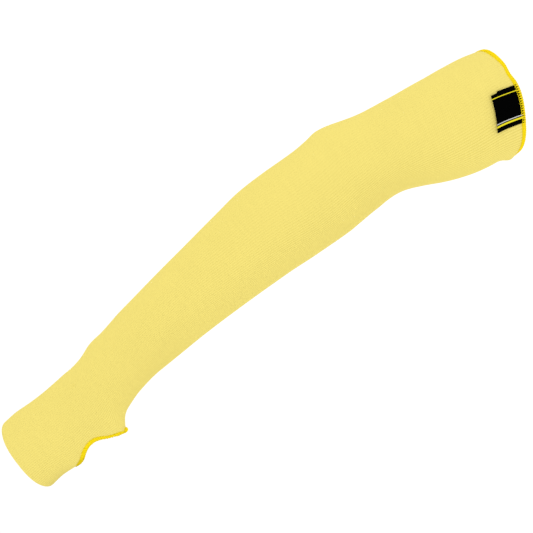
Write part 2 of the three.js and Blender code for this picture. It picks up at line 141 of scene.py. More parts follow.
holeForm = {
    "fromHandRim": 47.0,
    "toWrist": 30.0,
    # the rim once round: mm along (towards the hand) and mm round (towards the near side)
    "rim": (
        (17.3, 0.0), (15.6, 3.1), (12.3, 6.1), (7.8, 10.8), (3.2, 14.1), (-1.3, 15.3), (-6.4, 14.6),
        (-10.8, 12.0), (-15.0, 8.3), (-20.0, 5.9), (-25.0, 4.4), (-28.6, 3.2), (-29.7, 2.0),
        (-28.6, 0.7), (-25.0, -1.2), (-20.0, -4.2), (-15.0, -8.4), (-10.0, -12.8), (-5.0, -15.4),
        (0.0, -16.6), (5.0, -17.0), (10.0, -16.2), (14.5, -13.6), (17.6, -9.0), (18.4, -4.4),
    ),
}
length = sleeveForm["length"]
holePlace = length - holeForm["fromHandRim"]


# 3t^2 - 2t^3, held at 0 and 1 outside that range
def ease(value):
    t = np.clip(value, 0.0, 1.0)
    return t * t * (3.0 - 2.0 * t)


# a bell, exp(-(x/width)^2)
def bell(x, width):
    return np.exp(-((x / width) ** 2))


# the direction of the centreline: each bend adds its turn, eased over its own stretch
def headingAt(share):
    degrees = np.full_like(share, -sleeveForm["lean"])
    for at, turn, over in sleeveForm["bends"]:
        degrees = degrees + turn * ease((share - at + over / 2) / over)
    return np.radians(degrees)


# one column of the sections table at any share, as a cubic through the rows with central slopes
def sectionColumn(share, column):
    table = np.array(sleeveForm["sections"])
    at, value = table[:, 0], table[:, column]
    slope = np.empty_like(value)
    slope[1:-1] = (value[2:] - value[:-2]) / (at[2:] - at[:-2])
    slope[0] = (value[1] - value[0]) / (at[1] - at[0])
    slope[-1] = (value[-1] - value[-2]) / (at[-1] - at[-2])
    low = np.clip(np.searchsorted(at, share, side="right") - 1, 0, len(at) - 2)
    span = at[low + 1] - at[low]
    t = (share - at[low]) / span
    joined = value[low] * (1 + t * t * (2 * t - 3)) + value[low + 1] * t * t * (3 - 2 * t)
    return joined + span * t * (1 - t) * (slope[low] * (1 - t) - slope[low + 1] * t)


# (near - far)/2 * x + (near + far)/2 * x^2, which is near at x = 1 and far at x = -1
def rimBow(near, far, x):
    return (near - far) / 2 * x + (near + far) / 2 * x * x


# The outer face of the knit as a table over (share of the length, turn round the arm). turn is 0
# at the thumb-side crest, a quarter at the near side and a half at the elbow side.
def makeSurface():
    form = sleeveForm
    rows, turns = form["tableRows"], form["tableTurns"]
    share = np.linspace(0.0, 1.0, rows + 1)
    middle = (share[1:] + share[:-1]) / 2
    steps = np.stack([np.sin(headingAt(middle)), -np.cos(headingAt(middle))], 1) * length / rows
    centre = np.concatenate([np.zeros((1, 2)), np.cumsum(steps, 0)])
    halfWide, halfDeep, shift, square = (sectionColumn(share, c)[:, None] for c in (1, 2, 3, 4))
    # superellipse: x = a sgn(cos)|cos|^(2/n), y = b sgn(sin)|sin|^(2/n)
    angle = np.linspace(0.0, 2 * np.pi, 2 * turns + 1)[None, :]
    across, near = np.cos(angle), np.sin(angle)
    xs = shift + halfWide * np.sign(across) * np.abs(across) ** (2 / square)
    ys = halfDeep * np.sign(near) * np.abs(near) ** (2 / square)
    pieces = np.hypot(np.diff(xs), np.diff(ys))
    lengths = np.concatenate([np.zeros((rows + 1, 1)), np.cumsum(pieces, 1)], 1)
    girth = lengths[:, -1]
    # all the rows are read in one go: row number + share of the girth only ever grows
    known = np.arange(rows + 1)[:, None] + lengths / girth[:, None]
    wanted = np.arange(rows + 1)[:, None] + (np.arange(turns) / turns)[None, :]
    x = np.interp(wanted.ravel(), known.ravel(), xs.ravel()).reshape(wanted.shape)
    y = np.interp(wanted.ravel(), known.ravel(), ys.ravel()).reshape(wanted.shape)
    toThumb, toNear = (x - shift) / halfWide, y / halfDeep
    turn = np.arange(turns) / turns
    around = ((turn + 0.5) % 1.0 - 0.5)[None, :] * girth[:, None]
    height, spread, rise, fall = form["flare"]
    past = (share * length - (holePlace - holeForm["toWrist"]))[:, None]
    fade = np.where(past < 0, rise, fall)
    out = x + height * (1 - np.minimum(np.abs(past) / fade, 1)) ** form["flarePower"] * bell(around, spread)
    hemRun = form["threadRoom"] + form["hemThumbSetback"] * toThumb
    hemRun = hemRun - rimBow(form["hemNear"], form["hemFar"], toNear)
    handRun = form["handThumbBow"] * toThumb + rimBow(form["handNear"], form["handFar"], toNear)
    ahead = (1 - ease(share * length / form["hemBlend"]))[:, None] * hemRun
    ahead = ahead + (1 - ease((1 - share) * length / form["handBlend"]))[:, None] * handRun
    sine, cosine = np.sin(headingAt(share))[:, None], np.cos(headingAt(share))[:, None]
    places = np.stack(
        [
            centre[:, :1] + out * cosine + ahead * sine,
            -y,
            centre[:, 1:] + out * sine - ahead * cosine,
        ],
        2,
    )
    return shapedLocally(places, share, turn, girth) * 0.001, girth * 0.001


# unit vectors, each row divided by its own length
def unit(vectors):
    return vectors / np.maximum(np.linalg.norm(vectors, axis=-1, keepdims=True), 1e-12)


# the directions along the sleeve to the hand and out of its face, from neighbouring places
def directions(places):
    along = unit(np.gradient(places, axis=0))
    around = unit(np.roll(places, -1, 1) - np.roll(places, 1, 1))
    return along, unit(np.cross(around, along))


# Each dent is bell(distance along) * bell(distance round), moved out and to the hem. The roll is
# (1 - distance from the rim / over)^2 * bell(distance round), moved in and to the hand.
def shapedLocally(places, share, turn, girth):
    along, outwards = directions(places)
    down = (share * length)[:, None]

    def around(at):
        return ((turn - at + 0.5) % 1.0 - 0.5)[None, :] * girth[:, None]

    for at, atTurn, longSpread, roundSpread, out, ahead in sleeveForm["dents"]:
        amount = bell(down - at, longSpread) * bell(around(atTurn), roundSpread)
        places = places + (outwards * out - along * ahead) * amount[..., None]
    roll = sleeveForm["roll"]
    amount = np.clip(1 - down / roll["over"], 0.0, 1.0) ** 2 * bell(around(roll["turn"]), roll["spread"])
    return places + (along * roll["back"] - outwards * roll["inwards"]) * amount[..., None]


surfaceTable, girthTable = makeSurface()
alongTable, normalTable = directions(surfaceTable)


# a table read between its four nearest entries; past a rim the last cell is carried on straight
def readTable(table, share, turn):
    rows, turns = sleeveForm["tableRows"], sleeveForm["tableTurns"]
    row = np.clip(np.floor(share * rows), 0, rows - 1).astype(int)
    down = (share * rows - row)[..., None]
    wide = (turn % 1.0) * turns
    column = np.minimum(np.floor(wide), turns - 1).astype(int)
    over = (wide - column)[..., None]
    after = (column + 1) % turns
    low = table[row, column] * (1 - over) + table[row, after] * over
    high = table[row + 1, column] * (1 - over) + table[row + 1, after] * over
    return low * (1 - down) + high * down


# a place on the knit: the outer face, plus its normal times lift (metres, negative is inwards)
def onKnit(share, turn, lift=0.0):
    share, turn = np.broadcast_arrays(share, turn)
    normal = unit(readTable(normalTable, share, turn))
    lift = np.broadcast_to(lift, share.shape)[..., None]
    return readTable(surfaceTable, share, turn) + normal * lift


def girthAt(share):
    return np.interp(share, np.linspace(0.0, 1.0, len(girthTable)), girthTable)


print("sleeve surface worked out")


# Joins points, sets of faces with the same number of corners, and a UV pair for each corner into
# one object at the origin. Faces are turned outwards by the sign of the closed volume.
def makePiece(name, points, faceSets, uvSets, material, marks=None):
    points = np.asarray(points, float).reshape(-1, 3)
    volume = 0.0
    for faces in faceSets:
        a = points[faces[:, 0]]
        for k in range(1, faces.shape[1] - 1):
            volume += np.einsum("ij,ij->", a, np.cross(points[faces[:, k]], points[faces[:, k + 1]]))
    if volume < 0:
        faceSets = [faces[:, ::-1] for faces in faceSets]
        uvSets = [uvs[:, ::-1] for uvs in uvSets]
    corners = np.concatenate([faces.ravel() for faces in faceSets]).astype(np.int32)
    sizes = np.concatenate([np.full(len(faces), faces.shape[1]) for faces in faceSets])
    starts = np.concatenate([[0], np.cumsum(sizes)[:-1]]).astype(np.int32)
    mesh = bpy.data.meshes.new(name)
    mesh.vertices.add(len(points))
    mesh.vertices.foreach_set("co", points.astype(np.float32).ravel())
    mesh.loops.add(len(corners))
    mesh.loops.foreach_set("vertex_index", corners)
    mesh.polygons.add(len(sizes))
    mesh.polygons.foreach_set("loop_start", starts)
    mesh.update(calc_edges=True)
    uvLayer = mesh.uv_layers.new(name="lay")
    uvs = np.concatenate([u.reshape(-1, 2) for u in uvSets])
    uvLayer.data.foreach_set("uv", uvs.astype(np.float32).ravel())
    for markName, values in (marks or {}).items():
        mark = mesh.attributes.new(markName, "FLOAT", "POINT")
        mark.data.foreach_set("value", np.asarray(values, np.float32))
    mesh.shade_smooth()
    mesh.validate()
    mesh.materials.append(material)
    piece = bpy.data.objects.new(name, mesh)
    bpy.context.collection.objects.link(piece)
    return piece


# node trees: a node with its settings and its inputs, which are numbers, colours or other sockets
def addNode(tree, kind, inputs=None, **settings):
    made = tree.nodes.new(kind)
    for name, value in settings.items():
        setattr(made, name, value)
    for name, value in (inputs or {}).items():
        if isinstance(value, bpy.types.NodeSocket):
            tree.links.new(value, made.inputs[name])
        else:
            made.inputs[name].default_value = value
    return made


def mathOut(tree, operation, first, second=0.0, third=0.0, clamp=False):
    made = addNode(tree, "ShaderNodeMath", {0: first, 1: second, 2: third}, operation=operation)
    made.use_clamp = clamp
    return made.outputs[0]


def newGroup(name, inputs, outputs):
    tree = bpy.data.node_groups.new(name, "ShaderNodeTree")
    for label, kind, value in inputs:
        socket = tree.interface.new_socket(label, in_out="INPUT", socket_type=kind)
        if value is not None:
            socket.default_value = value
    for label, kind in outputs:
        tree.interface.new_socket(label, in_out="OUTPUT", socket_type=kind)
    return tree, tree.nodes.new("NodeGroupInput"), tree.nodes.new("NodeGroupOutput")


# Stitch columns: each wale is two rows of slanted legs that meet in its middle. With w the
# distance from the wale's middle (0 to a half) the front's height is 0.6 cos(pi w)^2 plus
# 0.4 sin(2 pi w)^0.6 * (0.55 + 0.45 cos(2 pi (course - slant w))), and the back is arcs across the
# wales.
def makeStitchGroup():
    tree, start, end = newGroup(
        "stitchColumns",
        [("Lay", "NodeSocketVector", None), ("Wales", "NodeSocketFloat", 120.0),
         ("Courses", "NodeSocketFloat", 364.0), ("Slant", "NodeSocketFloat", 1.1)],
        [("Front", "NodeSocketFloat"), ("Back", "NodeSocketFloat")],
    )
    split = addNode(tree, "ShaderNodeSeparateXYZ", {0: start.outputs["Lay"]})
    wale = mathOut(tree, "MULTIPLY", split.outputs[0], start.outputs["Wales"])
    course = mathOut(tree, "MULTIPLY", split.outputs[1], start.outputs["Courses"])
    fromMiddle = mathOut(tree, "ABSOLUTE", mathOut(tree, "SUBTRACT", mathOut(tree, "FRACT", wale), 0.5))
    hump = mathOut(tree, "SINE", mathOut(tree, "MULTIPLY", fromMiddle, 2 * math.pi))
    hump = mathOut(tree, "POWER", mathOut(tree, "MAXIMUM", hump, 0.0), 0.6)
    leg = mathOut(tree, "SUBTRACT", course, mathOut(tree, "MULTIPLY", fromMiddle, start.outputs["Slant"]))
    leg = mathOut(tree, "COSINE", mathOut(tree, "MULTIPLY", leg, 2 * math.pi))
    leg = mathOut(tree, "MULTIPLY", hump, mathOut(tree, "MULTIPLY_ADD", leg, 0.45, 0.55))
    column = mathOut(tree, "COSINE", mathOut(tree, "MULTIPLY", fromMiddle, 2 * math.pi))
    column = mathOut(tree, "MULTIPLY_ADD", column, 0.5, 0.5)
    leg = mathOut(tree, "MULTIPLY", leg, 0.4)
    tree.links.new(mathOut(tree, "MULTIPLY_ADD", column, 0.6, leg), end.inputs["Front"])
    arc = mathOut(tree, "COSINE", mathOut(tree, "MULTIPLY", wale, 2 * math.pi))
    arc = mathOut(tree, "MULTIPLY_ADD", arc, 0.22, course)
    arc = mathOut(tree, "COSINE", mathOut(tree, "MULTIPLY", arc, 2 * math.pi))
    tree.links.new(mathOut(tree, "MULTIPLY_ADD", arc, 0.5, 0.5), end.inputs["Back"])
    return tree


# Fibres: two sizes of noise on the piece's own place, as a tint round 1 and a height round 0
def makeFibreGroup():
    tree, start, end = newGroup(
        "fibreVariation",
        [("Place", "NodeSocketVector", None), ("Fine", "NodeSocketFloat", 1800.0),
         ("Broad", "NodeSocketFloat", 25.0), ("Tint", "NodeSocketFloat", 0.04)],
        [("Shade", "NodeSocketFloat"), ("Height", "NodeSocketFloat")],
    )
    swings = []
    for size, detail, roughness in (("Fine", 2.0, 0.6), ("Broad", 1.0, 0.5)):
        noise = addNode(tree, "ShaderNodeTexNoise", {"Vector": start.outputs["Place"], "Detail": detail,
                                                     "Scale": start.outputs[size], "Roughness": roughness})
        swings.append(mathOut(tree, "SUBTRACT", noise.outputs[0], 0.5))
    both = mathOut(tree, "ADD", *swings)
    tree.links.new(mathOut(tree, "MULTIPLY_ADD", both, start.outputs["Tint"], 1.0), end.inputs["Shade"])
    tree.links.new(swings[0], end.inputs["Height"])
    return tree


stitchColumns = makeStitchGroup()
fibreVariation = makeFibreGroup()


def newMaterial(name, look):
    material = bpy.data.materials.new(name)
    material.use_nodes = True
    tree = material.node_tree
    shader = tree.nodes["Principled BSDF"]
    shader.inputs["Roughness"].default_value = look["roughness"]
    shader.inputs["Specular IOR Level"].default_value = look["specular"]
    return material, tree, shader


# a value that the mesh keeps for each point
def markOut(tree, name):
    return addNode(tree, "ShaderNodeAttribute", attribute_name=name).outputs["Fac"]


# the fibre group, read on the piece's own place
def addFibre(tree, values=None):
    place = addNode(tree, "ShaderNodeTexCoord")
    inputs = {"Place": place.outputs["Object"], **(values or {})}
    return addNode(tree, "ShaderNodeGroup", inputs, node_tree=fibreVariation)


# the low colour at factor 0 and the high one at 1
def mixedColour(tree, factor, low, high):
    ends = [end if isinstance(end, bpy.types.NodeSocket) else (*end, 1.0) for end in (low, high)]
    made = addNode(tree, "ShaderNodeMix", {0: factor, 6: ends[0], 7: ends[1]}, data_type="RGBA")
    return made.outputs[2]


# bumps one upon another, each with its depth in metres and its height, into the shader's normal
def addBumps(tree, shader, bumps):
    inputs = {"Strength": 1.0}
    for depth, height in bumps:
        bump = addNode(tree, "ShaderNodeBump", {**inputs, "Distance": depth, "Height": height})
        inputs["Normal"] = bump.outputs[0]
    tree.links.new(inputs["Normal"], shader.inputs["Normal"])


# a colour times a shade near 1
def shaded(tree, colour, shade):
    made = addNode(tree, "ShaderNodeVectorMath", {0: colour, 3: shade}, operation="SCALE")
    return made.outputs[0]


# linear values from a picture's levels of 0 to 255
def srgb(*levels):
    return tuple(((v / 255 + 0.055) / 1.055) ** 2.4 if v > 10 else v / 255 / 12.92 for v in levels)


knitLook = {
    "face": srgb(247.5, 229.3, 131),
    # painted shade: the groove colour is the face's colour darkened as in the shade between the wales and
    # their legs
    "paintedGrooveShade": srgb(228.7, 210.5, 107),
    "inside": srgb(238, 220, 119),
    "paintedHandShade": 0.14,  # painted shade: how much darker the cloth is made on the hand's thumb-side edge past the hole, where it turns away from the light
    "paintedHandShadePlace": (12.0, 22.0, 14.0),  # where the painted shade lies: mm past the hole's middle, growing over, spread round
    # uneven rows: how many noise cells there are round and along the sleeve, and how strong
    "rowsRound": 14.0,
    "rowsAlong": 250.0,
    "rowTint": 0.05,
    "wales": 120,
    "courses": 364,
    "meanHeight": 0.45,
    "stitchBump": 0.00024,
    "fibreBump": 0.00005,
    "roughness": 0.92,
    "specular": 0.06,
}


def knitMaterial():
    look = knitLook
    material, tree, shader = newMaterial("paleYellowKnit", look)
    lay = addNode(tree, "ShaderNodeUVMap", uv_map="lay")
    inner = markOut(tree, "innerFace")
    stitch = addNode(tree, "ShaderNodeGroup", {"Lay": lay.outputs[0], "Wales": look["wales"],
                                               "Courses": look["courses"]}, node_tree=stitchColumns)
    fibre = addFibre(tree)
    height = addNode(tree, "ShaderNodeMix", {0: inner, 2: stitch.outputs["Front"],
                                             3: stitch.outputs["Back"]}).outputs[0]
    # the height's swing about its mean is scaled by how far the wales stand out, which sets how strong the
    # painted groove shade is
    swing = mathOut(tree, "SUBTRACT", height, look["meanHeight"])
    swung = mathOut(tree, "MULTIPLY_ADD", swing, markOut(tree, "ribbedAndGrooveShade"), look["meanHeight"])
    # painted shade: the colour goes from the face's to the darker one in the knit's grooves, where shade
    # falls
    depth = mixedColour(tree, swung, look["paintedGrooveShade"], look["face"])
    side = mixedColour(tree, inner, depth, look["inside"])
    # painted shade on the hand's thumb-side edge past the hole, carried by a mark on each point
    paintedHandShade = markOut(tree, "paintedHandShade")
    shade = mathOut(tree, "MULTIPLY_ADD", paintedHandShade, -look["paintedHandShade"], fibre.outputs["Shade"])
    # the noise is read on a circle, so that the rows close round the sleeve
    laid = addNode(tree, "ShaderNodeSeparateXYZ", {0: lay.outputs[0]})
    angle = mathOut(tree, "MULTIPLY", laid.outputs[0], 2 * math.pi)
    reach = look["rowsRound"] / (2 * math.pi)
    ring = [mathOut(tree, "MULTIPLY", mathOut(tree, wave, angle), reach) for wave in ("COSINE", "SINE")]
    down = mathOut(tree, "MULTIPLY", laid.outputs[1], look["rowsAlong"])
    onRing = addNode(tree, "ShaderNodeCombineXYZ", {0: ring[0], 1: ring[1], 2: down})
    rows = addNode(tree, "ShaderNodeTexNoise", {"Vector": onRing.outputs[0], "Scale": 1.0, "Detail": 1.0})
    uneven = mathOut(tree, "SUBTRACT", rows.outputs[0], 0.5)
    shade = mathOut(tree, "MULTIPLY_ADD", uneven, look["rowTint"], shade)
    tree.links.new(shaded(tree, side, shade), shader.inputs["Base Color"])
    addBumps(tree, shader, ((look["stitchBump"], height), (look["fibreBump"], fibre.outputs["Height"])))
    return material


# A smooth closed line through points: on each span, with t from 0 to 1, half of
# 2b + (c - a)t + (2a - 5b + 4c - d)t^2 + (3b - a - 3c + d)t^3 for its four nearest points a to d
def closedLine(points, steps):
    points = np.asarray(points, float)
    a, b, c, d = (np.roll(points, shift, 0)[:, None] for shift in (1, 0, -1, -2))
    t = (np.arange(steps) / steps)[None, :, None]
    curve = 2 * b + (c - a) * t + (2 * a - 5 * b + 4 * c - d) * t**2 + (3 * b - a - 3 * c + d) * t**3
    return 0.5 * curve.reshape(-1, 2)


holeRim = closedLine(holeForm["rim"], 24)
holeRimAngle = np.arctan2(holeRim[:, 1], holeRim[:, 0])


# whether a place lies within the hole: nearer its middle than the rim is in that direction
def inHole(along, around):
    reach = np.interp(np.arctan2(around, along), holeRimAngle, np.hypot(*holeRim.T), period=2 * np.pi)
    return np.hypot(along, around) < reach


# from millimetres along and around, measured from the hole's middle, to share and turn
def fromHole(along, around):
    share = (holePlace + along) / length
    return share, around * 0.001 / girthAt(share)


knitMesh = {
    "rows": 203,
    # row spacing in mm at distances from the hem in mm
    "spacing": ((0.0, 0.5), (8.0, 1.0), (14.0, 3.2), (455.0, 3.2), (467.0, 1.9), (520.0, 1.9), (541.0, 2.4),
                (543.5, 0.5), (546.0, 0.2)),
    "aroundPerWale": 2,
    "wall": 0.0015,
    "waleRelief": 0.00028,
    "innerRelief": 0.3,  # share of the wales' relief that shows on the inner face
    "rimRound": 0.00062,  # how much of each face is taken off at the hand's very edge
    "nearHole": (40.0, 28.0),  # mm along and round the hole's middle in which its rim is looked for
}


# where the rows lie, as shares of the length: equal steps of the sum of 1 / spacing
def knitRows():
    at, gap = np.array(knitMesh["spacing"]).T
    fine = np.linspace(0.0, length, 5461)
    passed = np.concatenate([[0.0], np.cumsum(1 / np.interp((fine[1:] + fine[:-1]) / 2, at, gap))])
    return np.interp(np.linspace(0.0, passed[-1], knitMesh["rows"] + 1), passed, fine) / length


# the turn at which a wale lies: wale - drawn sin(2 pi wale) / girth - widened cos(2 pi wale)
def waleTurn(wale, share):
    drawn = np.interp(share, *np.array(sleeveForm["drawn"]).T) * 0.001
    widened = np.interp(share, *np.array(sleeveForm["widened"]).T)
    angle = 2 * np.pi * wale
    return wale - drawn * np.sin(angle) / girthAt(share) - widened * np.cos(angle)


# how far the wales stand out, and with it how strong the painted shade in their grooves is: a mix of two
# columns of the table by the side of the arm, and less of the near side's on the elbow side
def ribbedAndGrooveShadeAt(share, turn):
    at, near, thumb = np.array(sleeveForm["ribbedAndGrooveShade"]).T
    side = np.cos(2 * np.pi * turn)
    towardsThumb, towardsElbow = ease(1.25 * side), ease(-side)
    nearHere, thumbHere = np.interp(share, at, near), np.interp(share, at, thumb)
    return nearHere * (1 - towardsThumb) * (1 - 0.7 * towardsElbow) + thumbHere * towardsThumb


# The faces of a wall: the outer quads, the inner ones turned round and numbered count further on, and
# a rim along each edge that only one quad has
def wallFaces(quads, count):
    edges = np.concatenate([quads[:, [k, (k + 1) % 4]] for k in range(4)])
    keys = edges[:, 0] * count + edges[:, 1]
    loose = edges[~np.isin(keys, edges[:, 1] * count + edges[:, 0])]
    rims = np.stack([loose[:, 1], loose[:, 0], loose[:, 0] + count, loose[:, 1] + count], 1)
    return np.concatenate([quads, quads[:, ::-1] + count, rims])


# The wall as a grid over (share, wale). Corners less than half a cell from the hole's rim are moved
# on to it, and the faces that reach further in are left out. The inner face is the outer one less
# the wall; at the hand's edge both faces are rounded as 1 - (1 - (1 - distance/wall*2)^2)^0.5.
def makeKnit():
    look, grid = knitLook, knitMesh
    columns, rows = look["wales"] * grid["aroundPerWale"], grid["rows"]
    rowShares = knitRows()
    share = np.repeat(rowShares, columns)
    rowGap = np.repeat(np.gradient(rowShares) * length, columns)
    lay = np.tile(np.arange(columns) / columns, rows + 1)
    turn = waleTurn(lay, share)
    signed = (turn + 0.5) % 1.0 - 0.5
    girth = girthAt(share) * 1000
    along, around = share * length - holePlace, signed * girth
    reachAlong, reachRound = grid["nearHole"]
    near = np.nonzero((np.abs(along) < reachAlong) & (np.abs(around) < reachRound))[0]
    gapAlong = (along[near, None] - holeRim[None, :, 0]) / rowGap[near, None]
    gapAround = (around[near, None] - holeRim[None, :, 1]) / (girth[near, None] / columns)
    cells = np.hypot(gapAlong, gapAround)
    closest = cells.argmin(1)
    moved = cells[np.arange(len(near)), closest] < 0.5
    onRim, rimPoint = near[moved], holeRim[closest[moved]]
    within = inHole(along, around)
    within[onRim] = False
    rimShare, rimTurn = fromHole(rimPoint[:, 0], rimPoint[:, 1])
    lay[onRim] += (rimTurn - turn[onRim] + 0.5) % 1.0 - 0.5
    share[onRim], turn[onRim] = rimShare, rimTurn
    wale = np.cos(2 * np.pi * look["wales"] * np.tile(np.arange(columns) / columns, rows + 1))
    # how far the wales stand out: it shapes the relief below and, as a mark, the strength of the painted
    # groove shade
    ribbedAndGrooveShade = ribbedAndGrooveShadeAt(share, turn)
    relief = -grid["waleRelief"] * ribbedAndGrooveShade * (0.5 * wale + 0.5)
    # painted shade: darker round the thumb-side crest, growing past the hole's middle towards the hand
    handShadeFrom, handShadeOver, handShadeSpread = look["paintedHandShadePlace"]
    paintedHandShade = bell(signed * girth, handShadeSpread) * ease((along - handShadeFrom) / handShadeOver)
    fromEdge = np.clip((1 - share) * length * 0.001 / (grid["wall"] / 2), 0.0, 1.0)
    rounded = grid["rimRound"] * (1 - np.sqrt(1 - (1 - fromEdge) ** 2))
    outer = onKnit(share, turn, relief - rounded)
    inner = onKnit(share, turn, -grid["wall"] - grid["innerRelief"] * relief + rounded)
    numbers = np.arange((rows + 1) * columns).reshape(rows + 1, columns)
    here, ahead = numbers[:-1], numbers[1:]
    quads = np.stack([here, ahead, np.roll(ahead, -1, 1), np.roll(here, -1, 1)], -1).reshape(-1, 4)
    quads = quads[~within[quads].any(1)]
    used = np.unique(quads)
    newNumber = np.full(numbers.size, -1)
    newNumber[used] = np.arange(len(used))
    quads = newNumber[quads]
    outer, inner, share, lay = outer[used], inner[used], share[used], lay[used] % 1.0
    marks = {name: np.tile(values[used], 2) for name, values in (("ribbedAndGrooveShade", ribbedAndGrooveShade), ("paintedHandShade", paintedHandShade))}
    count = len(used)
    faces = wallFaces(quads, count)
    bothLay, bothShare = np.tile(lay, 2)[faces], np.tile(share, 2)[faces]
    crossing = bothLay.max(1, keepdims=True) - bothLay.min(1, keepdims=True) > 0.5
    bothLay = np.where(crossing & (bothLay < 0.5), bothLay + 1, bothLay)
    uvs = np.stack([bothLay, bothShare], -1)
    marks["innerFace"] = np.concatenate([np.zeros(count), np.ones(count)])
    return makePiece("knitWall", np.concatenate([outer, inner]), [faces], [uvs], knitMaterial(), marks)


knitWall = makeKnit()
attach(knitWall, "root")
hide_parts("knit_sleeve")
print("knit wall made,", len(knitWall.data.polygons), "faces")


# Thread: round strands whose two plies show as slanted ridges
threadLook = {
    "bright": srgb(254, 232, 22),
    # painted shade: the darker colour in the valleys between the plies' ridges
    "deep": srgb(249, 221, 8),
    "turns": 2.0,  # ridges across for one round of the strand
    "plyPitch": 0.0011,
    "plyBump": 0.00009,
    "fibreBump": 0.00006,
    "fibre": {"Fine": 3200.0, "Tint": 0.1},
    "roughness": 0.75,
    "specular": 0.1,
}


def threadMaterial():
    look = threadLook
    material, tree, shader = newMaterial("brightYellowThread", look)
    lay = addNode(tree, "ShaderNodeUVMap", uv_map="lay")
    split = addNode(tree, "ShaderNodeSeparateXYZ", {0: lay.outputs[0]})
    run = mathOut(tree, "DIVIDE", split.outputs[0], look["plyPitch"])
    ply = mathOut(tree, "MULTIPLY_ADD", split.outputs[1], look["turns"], run)
    ply = mathOut(tree, "COSINE", mathOut(tree, "MULTIPLY", ply, 2 * math.pi))
    ply = mathOut(tree, "MULTIPLY_ADD", ply, 0.5, 0.5)
    fibre = addFibre(tree, look["fibre"])
    # painted shade between the plies: the valleys take the darker colour
    colour = mixedColour(tree, ply, look["deep"], look["bright"])
    # painted shade: the thread's colour is darkened by the mark carried on each point
    shade = mathOut(tree, "SUBTRACT", fibre.outputs["Shade"], markOut(tree, "paintedShade"))
    tree.links.new(shaded(tree, colour, shade), shader.inputs["Base Color"])
    addBumps(tree, shader, ((look["plyBump"], ply), (look["fibreBump"], fibre.outputs["Height"])))
    return material


brightThread = threadMaterial()


# Tubes round lines of points: ring j of line i is point + r(cos a side + sin a up), where side is
# a given direction made square to the line. A closed line joins its last ring to its first, an
# open one is closed by a fan at each end. The last argument is painted shade: how much darker each point's
# thread is made.
def sweptTubes(lines, sideways, radius, corners, closed, paintedShade=0.0):
    lines = np.asarray(lines, float)
    many, steps, _ = lines.shape
    if closed:
        forward = unit(np.roll(lines, -1, 1) - np.roll(lines, 1, 1))
    else:
        forward = unit(np.gradient(lines, axis=1))
    side = unit(sideways - forward * np.sum(sideways * forward, -1, keepdims=True))
    up = np.cross(forward, side)
    angle = np.arange(corners) / corners * 2 * np.pi
    reach = np.broadcast_to(radius, (many, steps))[..., None, None]
    rings = lines[:, :, None, :] + reach * (
        np.cos(angle)[None, None, :, None] * side[:, :, None, :]
        + np.sin(angle)[None, None, :, None] * up[:, :, None, :]
    )
    pointsOut = rings.reshape(-1, 3)
    paintedShade = np.broadcast_to(paintedShade, (many, steps))
    paintedShadeOut = np.repeat(paintedShade.ravel(), corners)
    numbers = np.arange(many * steps * corners).reshape(many, steps, corners)
    if closed:
        here, ahead = numbers, np.roll(numbers, -1, 1)
    else:
        here, ahead = numbers[:, :-1], numbers[:, 1:]
    quads = np.stack([here, ahead, np.roll(ahead, -1, 2), np.roll(here, -1, 2)], -1)
    gaps = np.linalg.norm(np.diff(lines, axis=1), axis=-1)
    run = np.concatenate([np.zeros((many, 1)), np.cumsum(gaps, 1)], 1)
    if closed:
        last = run[:, -1:] + np.linalg.norm(lines[:, :1] - lines[:, -1:], axis=-1)
        run = np.concatenate([run, last], 1)
    first, second = run[:, :quads.shape[1], None], run[:, 1:quads.shape[1] + 1, None]
    v, vAfter = np.arange(corners) / corners, (np.arange(corners) + 1) / corners
    pairs = ((first, v), (second, v), (second, vAfter), (first, vAfter))
    uvs = np.stack([np.stack(np.broadcast_arrays(*pair), -1) for pair in pairs], -2)
    faceSets, uvSets = [quads.reshape(-1, 4)], [uvs.reshape(-1, 4, 2)]
    if not closed:
        count = len(pointsOut)
        pointsOut = np.concatenate([pointsOut, lines[:, 0], lines[:, -1]])
        paintedShadeOut = np.concatenate([paintedShadeOut, paintedShade[:, 0], paintedShade[:, -1]])
        caps = []  # each fan's order turns it to the same side as the quads
        for ring, tip in ((numbers[:, 0], count), (numbers[:, -1], count + many)):
            middle = np.broadcast_to((tip + np.arange(many))[:, None], ring.shape)
            after = np.roll(ring, -1, 1)
            pair = [after, ring] if tip == count else [ring, after]
            caps.append(np.stack([*pair, middle], -1).reshape(-1, 3))
        caps = np.concatenate(caps)
        faceSets.append(caps)
        uvSets.append(np.zeros((len(caps), 3, 2)))
    return pointsOut, faceSets, uvSets, paintedShadeOut


# several tubes and bands in one piece of bright thread
def makeThreads(name, parts):
    points, faceSets, uvSets, count = [], {}, {}, 0
    for partPoints, partFaces, partUvs, _ in parts:
        for faces, uvs in zip(partFaces, partUvs):
            size = faces.shape[1]
            faceSets.setdefault(size, []).append(faces + count)
            uvSets.setdefault(size, []).append(uvs)
        points.append(partPoints)
        count += len(partPoints)
    sizes = sorted(faceSets, reverse=True)
    faces, uvs = ([np.concatenate(found[s]) for s in sizes] for found in (faceSets, uvSets))
    # each point's painted shade, kept as a mark
    marks = {"paintedShade": np.concatenate([part[3] for part in parts])}
    return makePiece(name, np.concatenate(points), faces, uvs, brightThread, marks)


# how far the thread reaches in from the rim, in metres, from a table of turns and millimetres
def reachAt(edge, turn):
    at, reach = np.array(edge["reach"]).T
    return np.interp(turn, at, reach, period=1.0) * 0.001


# painted shade: how much darker the thread is made, from a table along the rim, and a little more past the
# rim where the band turns away from the light
def paintedShadeAt(edge, turn, depth):
    at, amount = np.array(edge["paintedShade"]).T
    pastRimShade = edge["pastRimShade"] * ease(1 - depth / edgeThread["paintedShadeOver"])
    return np.interp(turn, at, amount, period=1.0) + pastRimShade


